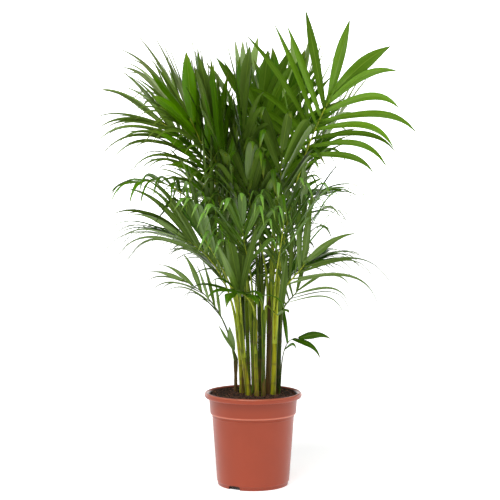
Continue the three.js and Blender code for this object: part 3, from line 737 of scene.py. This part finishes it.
def soil_piece():
    """The soil: a closed fill with a lumpy top."""
    rings, sides, wall, bottom = SOIL["rings"], SOIL["sides"], SOIL["wall"], SOIL["bottom"]
    top = POT["collar_top"] - SOIL["edge"]
    form = bmesh.new()
    loops = []
    for k in range(1, rings + 1):
        ring = circle(top * k / rings, sides)
        loops.append([form.verts.new((x * MM, y * MM, soil_height(x, y) * MM)) for x, y in ring])
    step = POT["step_height"]
    for r, z in ((POT["collar_bottom"] - wall, step + 2), (POT["body_top"] - wall, step - 6),
                 (POT["base_radius"] - wall - 0.6, bottom)):
        loops.append([form.verts.new((x, y, z * MM)) for x, y in circle(r * MM, sides)])
    middle = form.verts.new((0, 0, soil_height(0, 0) * MM))
    under = form.verts.new((0, 0, bottom * MM))
    for i in range(sides):
        j = (i + 1) % sides
        form.faces.new((middle, loops[0][i], loops[0][j]))
        form.faces.new((under, loops[-1][j], loops[-1][i]))
        for inner, outer in zip(loops, loops[1:]):
            form.faces.new((inner[i], outer[i], outer[j], inner[j]))
    mesh = finished(outward(form), "soil_fill")
    mesh.materials.append(soil_material("damp_peat", *SOIL_COLOURS["peat"]))
    return keep(show("soil_fill", mesh), ["soil"])


def crumb_tree():
    """Crumbs: low lumps strewn over the top of the soil, each stretched and turned its own way."""
    graph, given = field_tree("Crumbs", {
        "Density": ("Float", 34000), "Size": ("Float", 0.0026), "Reach": ("Float", 0.09),
        "Floor": ("Float", 0.188), "Seed": ("Int", 5), "Peat": ("Material", None),
    })
    place = graph.node("GeometryNodeInputPosition")
    flat = graph.stretched(place, 1, 1, 0)
    inside = graph.sum("LESS_THAN", graph.sum("LENGTH", flat), given["Reach"])
    high = graph.sum("GREATER_THAN", place.axis(2), given["Floor"])
    points = graph.node("GeometryNodeDistributePointsOnFaces", {}, {
        "Mesh": given["Geometry"], "Selection": inside * high,
        "Density": given["Density"], "Seed": given["Seed"]})
    lump = graph.node("GeometryNodeMeshIcoSphere", {}, {"Radius": 1.0, "Subdivisions": 1})
    stretch, turn = (
        graph.node("FunctionNodeRandomValue", {"data_type": "FLOAT_VECTOR"}, {
            "Min": least, "Max": most, "Seed": seed})
        for least, most, seed in (
            ((0.3, 0.3, 0.25), (1.5, 1.1, 0.9), 3), ((-0.6, -0.6, 0.0), (0.6, 0.6, 6.28), 4)))
    size = graph.node("FunctionNodeRandomValue", {"data_type": "FLOAT"}, {
        "Min_001": 0.35, "Max_001": 1.25, "Seed": 8}, 1)
    strewn = graph.node("GeometryNodeInstanceOnPoints", {}, {
        "Points": points, "Instance": lump, "Rotation": turn, "Scale": stretch * (size * given["Size"])})
    solid = graph.node("GeometryNodeRealizeInstances", {}, {"Geometry": strewn})
    rough = graph.node("ShaderNodeTexNoise", {}, {"Vector": place, "Scale": 700.0, "Detail": 1.0}, 1)
    shift = (rough - (0.5, 0.5, 0.5)) * (given["Size"] * 0.9)
    torn = graph.node("GeometryNodeSetPosition", {}, {"Geometry": solid, "Offset": shift})
    return finish_tree(graph, torn, given["Peat"])


# Canes and ribs

def heading(azimuth, lean):
    """The direction that leans from upright towards the azimuth."""
    turn, tilt = math.radians(azimuth), math.radians(lean)
    return Vector((math.sin(tilt) * math.cos(turn), math.sin(tilt) * math.sin(turn), math.cos(tilt)))


def fronds_of(stem):
    """The fronds that one stem carries, in order round it: (azimuth, name)."""
    x, y = STEMS[stem]["foot"]
    return sorted(
        (math.atan2(end[1] - y, end[0] - x), name)
        for name, carrier, end, *rest in FRONDS if carrier == stem)


def ring_offset(stem):
    """How far the ribs on top of a stem stand from its axis."""
    count = len(fronds_of(stem))
    return 0 if count < 2 else CANE["frond_spacing"] / 2 / math.sin(math.pi / count)


def stem_axis(stem):
    return heading(STEMS[stem]["azimuth"], STEMS[stem]["lean"])


def stem_foot(stem):
    cane = STEMS[stem]
    rise = cane["radius"] * CANE["flare"] * math.sin(math.radians(cane["lean"]))
    return Vector((*cane["foot"], SOIL_TOP + GAP + rise))


def stem_top(stem):
    return stem_foot(stem) + stem_axis(stem) * STEMS[stem]["height"]


def eased(t):
    t = min(1, max(0, t))
    return t * t * (3 - 2 * t)


def follow(knots, t):
    """Value at t on a line through (place, value) knots, eased between them."""
    for (a, va), (b, vb) in zip(knots, knots[1:]):
        if t <= b:
            return va + (vb - va) * eased((t - a) / (b - a))
    return knots[-1][1]


def cane_path(stem, index):
    """Points, thickness and scar of a cane: a flared foot, sheath ends as small steps, a closed top."""
    foot, axis = stem_foot(stem), stem_axis(stem)
    height, radius = STEMS[stem]["height"], STEMS[stem]["radius"]
    crown = max(radius * CANE["swell"], ring_offset(stem) + CANE["shoulder"] * 0.6)
    knots = [
        (0, radius * CANE["foot"]), (CANE["flare_height"] / height, radius),
        (CANE["waist_at"], radius * CANE["waist"]), (CANE["swell_at"], crown * 0.94),
        (CANE["crown_at"], crown), (1, crown * CANE["top"]),
    ]
    rings = [place + varies * scatter(index, k, 7) for k, (place, varies) in enumerate(CANE["rings"], 1)]
    sway = Vector((scatter(index, 4, 3), scatter(index, 5, 3), 0)) * radius * CANE["sway"]
    points, thick, scar = [], [], []
    for i in range(CANE["steps"] + 1):
        t = i / CANE["steps"]
        ring = sum(math.exp(-((t - place) * height / CANE["ring_width"]) ** 2) for place in rings)
        up = height * t - (CANE["buried"] if i == 0 else 0)
        points.append(foot + axis * up + sway * math.sin(math.pi * t))
        thick.append(follow(knots, t) * (1 + CANE["ring_swell"] * ring) * MM)
        scar.append(min(1.0, CANE["scar"] * ring))
    return points, thick, scar


def stalk_tree():
    """Stalks: a round skin along every chain of points, as thick as the points say."""
    graph, given = field_tree("Stalks", {"Sides": ("Int", 12), "Skin": ("Material", None)})
    line = graph.node("GeometryNodeMeshToCurve", {}, {"Mesh": given["Geometry"]})
    ring = graph.node("GeometryNodeCurvePrimitiveCircle", {}, {"Resolution": given["Sides"], "Radius": 1.0})
    tube = graph.node("GeometryNodeCurveToMesh", {}, {
        "Curve": line, "Profile Curve": ring, "Scale": named(graph, "thick"), "Fill Caps": True})
    soft = graph.node("GeometryNodeSetShadeSmooth", {}, {"Geometry": tube})
    return finish_tree(graph, soft, given["Skin"])


def chain_seed(name, paths):
    """One seed mesh of many chains: each path is (points, thick, scar)."""
    points, edges, thick, scar = [], [], [], []
    for path, widths, marks in paths:
        first = len(points)
        edges += [(first + i, first + i + 1) for i in range(len(path) - 1)]
        points += path
        thick += widths
        scar += marks
    return seed_mesh(name, points, edges, thick=thick, scar=scar)


# Fronds

def all_fronds():
    """Every frond as its kind's values, its own, and its place in the table."""
    plain = {"roll": 0, "tip_width": LEAF["tip_width"], "hook": 0, "bend": LEAF["bend"], "hold": 1}
    return [
        {
            **plain, **KINDS[kind], **own, "name": name, "stem": stem, "end": Vector(end),
            "end_lean": end_lean, "tint": tint, "index": index,
        }
        for index, (name, stem, end, end_lean, kind, tint, own) in enumerate(FRONDS)
    ]


def rib_foot(frond):
    """Where a rib stands, in the ring on top of its stem or in the soil, and which way it faces."""
    stem = frond["stem"]
    if stem == "soil":
        x, y = frond["foot"]
        reach = frond["rib"] * RIB["soil_base"] + RIB["soil_clear"]
        rise = reach * math.sin(math.radians(frond["start"]))
        return Vector((x, y, SOIL_TOP + GAP + rise)), Vector((1, 0, 0))
    ring = fronds_of(stem)
    place = [name for azimuth, name in ring].index(frond["name"])
    mean = sum(azimuth for azimuth, name in ring) / len(ring)
    azimuth = mean + 2 * math.pi * (place - (len(ring) - 1) / 2) / len(ring)
    axis = stem_axis(stem)
    out = Vector((math.cos(azimuth), math.sin(azimuth), 0))
    out = (out - axis * out.dot(axis)).normalized()
    return stem_top(stem) + axis * 2 * GAP + out * ring_offset(stem), out


def rib_curve(frond):
    """Corners of the rib's cubic curve and its azimuth."""
    foot, end = rib_foot(frond)[0], frond["end"]
    azimuth = math.degrees(math.atan2(end.y - foot.y, end.x - foot.x))
    chord = (end - foot).length
    first = foot + heading(azimuth, frond["start"]) * chord * RIB["start_hold"]
    last = end - heading(azimuth, frond["end_lean"]) * chord * RIB["end_hold"]
    return (foot, first, last, end), math.radians(azimuth)


def along_rib(corners, t):
    """Point and direction of the rib at t."""
    a, b, c, d = corners
    s = 1 - t
    point = a * s ** 3 + b * 3 * s * s * t + c * 3 * s * t * t + d * t ** 3
    tangent = (b - a) * s * s + (c - b) * 2 * s * t + (d - c) * t * t
    return point, tangent.normalized()


def rib_path(frond, corners):
    """Points, thickness and scar of a rib, with the sheath that wraps its cane below it."""
    points, thick = [], []
    foot, out = rib_foot(frond)
    if frond["stem"] == "soil":
        points.append(foot - Vector((0, 0, RIB["buried"])))
        thick.append(frond["rib"] * RIB["soil_foot"] * MM)
        base = RIB["soil_base"]
    else:
        axis, radius = stem_axis(frond["stem"]), STEMS[frond["stem"]]["radius"]
        length = min(RIB["sheath_most"], STEMS[frond["stem"]]["height"] * RIB["sheath_share"])
        inward = ring_offset(frond["stem"]) - radius * RIB["sheath_inset"]
        low = foot - axis * length - out * inward
        base = RIB["base"]
        for i in range(RIB["sheath_steps"]):
            t = i / RIB["sheath_steps"]
            points.append(low + (foot - low - axis * length) * eased(t) + axis * length * t)
            thick.append((radius * RIB["sheath_thick"] * (1 - t) + frond["rib"] * base * t) * MM)
    for i in range(RIB["steps"] + 1):
        t = i / RIB["steps"]
        points.append(along_rib(corners, t)[0])
        sheath = 1 + (base - 1) * (1 - eased(t / RIB["base_share"]))
        thick.append(frond["rib"] * sheath * (1 + (RIB["tip_share"] - 1) * t) * MM)
    return points, thick, [0.0] * len(points)


def blade_axes(azimuth, tangent, roll):
    """The two directions across a rib: sideways in its blade's plane, and out of that plane."""
    side = Vector((-math.sin(azimuth), math.cos(azimuth), 0))
    side = (side - tangent * side.dot(tangent)).normalized()
    turn = Quaternion(tangent, roll)
    return turn @ side, turn @ tangent.cross(side)


def leaflet_plan(frond, corners, azimuth, row, side, pairs):
    """How one leaflet leaves the rib, worked out from its place and the small scatter of its frond."""
    stagger = LEAF["stagger"]
    q = min(1, (row + stagger * (1 + side) / 2) / (pairs - 1 + stagger))
    point, tangent = along_rib(corners, frond["bare"] + (1 - frond["bare"]) * q)
    across, lift = blade_axes(azimuth, tangent, math.radians(frond["roll"]))
    open_by, lift_by, size_by, turn_by = (
        scatter(frond["index"], 2 * row + (side > 0), k) for k in (1, 2, 3, 4))
    wide, narrow = frond["spread"]
    opening = wide + (narrow - wide) * q ** LEAF["narrowing"]
    spread = math.radians(opening + VARIES["spread"] * open_by)
    vee = math.radians(frond["vee"] * (1 - 0.5 * q) + VARIES["vee"] * lift_by)
    out = across * side * math.cos(vee) + lift * math.sin(vee)
    start = tangent * math.cos(spread) + out * math.sin(spread)
    level = start.x ** 2 + start.y ** 2
    stiffness = 1.1 - 0.6 * q ** 3
    hang = frond["droop"] * level * stiffness * (1 + VARIES["droop"] * lift_by)
    hang += frond["hook"] * (1 + VARIES["hook"] * size_by)
    outward = heading(math.degrees(azimuth), 90) * frond["hook"] * 0.3
    end = (start - Vector((0, 0, hang)) + outward).normalized()
    flat = (tangent - start * tangent.dot(start)).normalized()
    if frond["hook"]:
        square = start.cross(end).normalized()
        flat = square * math.copysign(1, square.dot(flat))
    flat = Quaternion(start, math.radians((LEAF["twist"] + VARIES["twist"] * size_by) * side)) @ flat
    least, slim = LEAF["least_length"], LEAF["least_width"]
    length = frond["leaf"] * (least + (1 - least) * math.sin(math.pi * (0.12 + 0.86 * q)))
    length *= 1 + VARIES["length"] * size_by
    width = frond["width"] * (slim + (1 - slim) * q * q) * (1 + VARIES["width"] * open_by)
    width *= frond["tip_width"] if row == pairs - 1 else 1
    tone_by_turn, tone_by_lift = VARIES["tone"]
    return {
        "root": point * MM,
        "start": start,
        "end": end,
        "flat": flat * side,
        "size": (length * MM, width * MM, math.radians(LEAF["curl"] * turn_by)),
        "form": (frond["full"], frond["taper"], 0),
        "turn": (frond["bend"], frond["hold"] * (1 + VARIES["hold"] * lift_by), 0),
        "tone": 0.5 + tone_by_turn * turn_by + tone_by_lift * lift_by,
    }


def leaflet_tree():
    """Leaflets: a pointed blade, thin at its edges and folded along its midrib, bent from start to end."""
    graph, given = field_tree("Leaflets", {
        "Segments": ("Int", LEAF["segments"]), "Thickness": ("Float", LEAF["thickness"] * MM),
        "Fold": ("Float", LEAF["fold"]), "Leaf": ("Material", None),
    })
    place = graph.node("GeometryNodeInputPosition")
    blank = graph.node("GeometryNodeMeshCylinder", {"fill_type": "NGON"}, {
        "Vertices": 4, "Side Segments": given["Segments"], "Radius": 1.0, "Depth": 1.0})
    local = graph.node("ShaderNodeCombineXYZ", {}, {
        0: place.axis(0), 1: place.axis(2) + 0.5, 2: place.axis(1) * -1})
    on_points = {"data_type": "FLOAT_VECTOR", "domain": "POINT"}
    blank = graph.node("GeometryNodeStoreNamedAttribute", on_points, {
        "Geometry": blank, "Name": "blade", "Value": local})
    soft = graph.node("GeometryNodeSetShadeSmooth", {"domain": "FACE"}, {"Geometry": blank})
    rim = graph.sum("GREATER_THAN", abs(place.axis(0)), 0.99)
    crisp = graph.node("GeometryNodeSetShadeSmooth", {"domain": "EDGE"}, {
        "Geometry": soft, "Selection": rim, "Shade Smooth": False})
    strewn = graph.node("GeometryNodeInstanceOnPoints", {}, {
        "Points": given["Geometry"], "Instance": crisp})
    solid = graph.node("GeometryNodeRealizeInstances", {}, {"Geometry": strewn})

    root, start, end, flat, size, form, turn, blade = (
        named(graph, name, "FLOAT_VECTOR")
        for name in ("root", "start", "end", "flat", "size", "form", "turn", "blade"))
    across_share, u, face = blade.axis(0), blade.axis(1), blade.axis(2)
    length, width, curl = size.axis(0), size.axis(1), size.axis(2)
    full, taper, bend, hold = form.axis(0), form.axis(1), turn.axis(0), turn.axis(1)
    turning = graph.least(u / hold, 1.0)
    late = turning ** (bend + 1) * hold / (bend + 1) + graph.most(u - hold, 0.0)
    middle = root + start * (length * (u - late)) + end * (length * late)
    turned_share = turning ** bend
    along = (start * (1 - turned_share) + end * turned_share).unit()
    level = (flat - along * flat.dot(along)).unit()
    up = level.cross(along)
    twist = curl * u
    across = level * graph.sum("COSINE", twist) + up * graph.sum("SINE", twist)
    above = across.cross(along)
    widen = graph.sum("SINE", graph.least(u / full, 1.0) * (math.pi / 2))
    widen = LEAF["foot_width"] + widen * (1 - LEAF["foot_width"])
    narrow = 1 - graph.most((u - full) / (1 - full), 0.0) ** taper
    half = width * 0.5 * widen * narrow
    point = middle + across * (across_share * half)
    point = point + above * (face * given["Thickness"] - abs(across_share) * half * given["Fold"])
    bent = graph.node("GeometryNodeSetPosition", {}, {"Geometry": solid, "Position": point})
    return finish_tree(graph, bent, given["Leaf"])


def leaf_pieces(fronds):
    """One piece of leaves for each tint."""
    tree = leaflet_tree()
    shape_fields = ("root", "start", "end", "flat", "size", "form", "turn")
    for tint, finish in LEAF_TINTS.items():
        chosen = [f for f in fronds if f["tint"] == tint]
        plans = []
        for frond in chosen:
            corners, azimuth = rib_curve(frond)
            pairs = round(frond["pairs"] * frond["fine"])
            plans += [
                leaflet_plan(frond, corners, azimuth, row, side, pairs)
                for row in range(pairs) for side in (-1, 1)]
        fields = {key: [plan[key] for plan in plans] for key in (*shape_fields, "tone")}
        seed = seed_mesh(f"leaves_{tint}", [plan["root"] / MM for plan in plans], [], **fields)
        piece = grown(f"leaves_{tint}", seed, tree, Leaf=leaf_material(f"leaf_{tint}", *finish))
        drop_attributes(piece, *shape_fields)
        keep(piece, [f"frond_{f['name']}" for f in chosen])


def stalk_pieces(fronds):
    """Canes by tint, and the ribs of the fronds in the tint of their canes."""
    tree = stalk_tree()

    def piece(kind, tint, colours, sides, paths, slot, nodes):
        seed = chain_seed(f"{kind}s_{tint}", paths)
        skin = cane_material(f"{kind}_{tint}", *colours)
        made = grown(f"{kind}s_{tint}", seed, tree, Sides=sides, Skin=skin)
        drop_attributes(made, "thick")
        keep(made, nodes)

    for tint, colours in CANE_TINTS.items():
        stems = [stem for stem in STEMS if STEMS[stem]["tint"] == tint]
        paths = [cane_path(stem, list(STEMS).index(stem)) for stem in stems]
        slot = "stem_brown" if tint == "brown" else "stem"
        piece("cane", tint, colours, CANE["sides"], paths, slot, [f"stem_{stem}" for stem in stems])
    for tint, colours in RIB_TINTS.items():
        chosen = [f for f in fronds if rib_tint(f) == tint]
        paths = [rib_path(f, rib_curve(f)[0]) for f in chosen]
        piece("rib", tint, colours, RIB["sides"], paths, "frond", [f"frond_{f['name']}" for f in chosen])


def rib_tint(frond):
    """The tint of the frond's cane; a young one from the soil is dark, and none is brown."""
    own = STEMS[frond["stem"]]["tint"] if frond["stem"] != "soil" else "dark"
    return "green" if own == "brown" else own


# Studio

def aimed(thing, place, target):
    thing.location = place
    thing.rotation_euler = (Vector(target) - Vector(place)).to_track_quat("-Z", "Y").to_euler()
    bpy.context.scene.collection.objects.link(thing)
    return thing


def camera():
    """The photograph's viewing angle: a long lens above the middle of the plant, looking slightly down."""
    lens = bpy.data.cameras.new("view")
    lens.sensor_width, lens.lens, lens.clip_end = VIEW["sensor"], VIEW["lens"], VIEW["reach"]
    bpy.context.scene.camera = aimed(bpy.data.objects.new("view", lens), VIEW["place"], VIEW["target"])


def area_light(name, side):
    """A tall soft light beside the camera, to its left (-1) or its right (1)."""
    lamp = bpy.data.lights.new(name, "AREA")
    lamp.shape = "RECTANGLE"
    lamp.size, lamp.size_y = STUDIO["bank_size"]
    lamp.energy = STUDIO["bank_power"]
    x, y, z = STUDIO["bank_place"]
    aimed(bpy.data.objects.new(name, lamp), (side * x, y, z), STUDIO["bank_target"])


def glowing(name, strength):
    """A white paper that gives light of its own, evenly."""
    colour = STUDIO["paper"]
    return surface(name, lambda graph: {
        "Base Color": colour, "Roughness": 0.9, "Emission Color": colour, "Emission Strength": strength})


def studio():
    """A pale floor and a low white wall all round it, soft light, and a broad key from the front left."""
    scene = bpy.context.scene
    scene.view_settings.view_transform = "Standard"
    world = bpy.data.worlds.new("studio")
    world.use_nodes = True
    back = world.node_tree.nodes["Background"]
    back.inputs["Color"].default_value = (1, 1, 1, 1)
    back.inputs["Strength"].default_value = STUDIO["ambient"]
    scene.world = world
    sun = bpy.data.lights.new("key", "SUN")
    sun.energy, sun.angle = STUDIO["key"], math.radians(STUDIO["softness"])
    aimed(bpy.data.objects.new("key", sun), STUDIO["key_from"], (0, 0, 0))
    area_light("left_bank", -1)
    area_light("right_bank", 1)
    sides = STUDIO["sides"]
    ring = circle(STUDIO["wall_radius"], sides)
    floor = bpy.data.meshes.new("floor")
    floor.from_pydata([(x, y, STUDIO["floor_height"]) for x, y in ring], [], [list(range(sides))])
    floor.materials.append(glowing("pale_floor", STUDIO["floor_glow"]))
    wall = bpy.data.meshes.new("wall")
    wall.from_pydata(
        [(x, y, z) for z in (STUDIO["wall_foot"], STUDIO["wall_height"]) for x, y in ring], [],
        [[i, (i + 1) % sides, (i + 1) % sides + sides, i + sides] for i in range(sides)])
    wall.materials.append(glowing("white_wall", STUDIO["wall_glow"]))
    show("floor", floor)
    show("wall", wall)


camera()
studio()
pot_piece()
soil = soil_piece()
crumb_finish = soil_material("peat_crumbs", *SOIL_COLOURS["crumbs"])
keep(grown("soil_crumbs", soil.data.copy(), crumb_tree(), Peat=crumb_finish), ["soil"])
fronds = all_fronds()
stalk_pieces(fronds)
leaf_pieces(fronds)
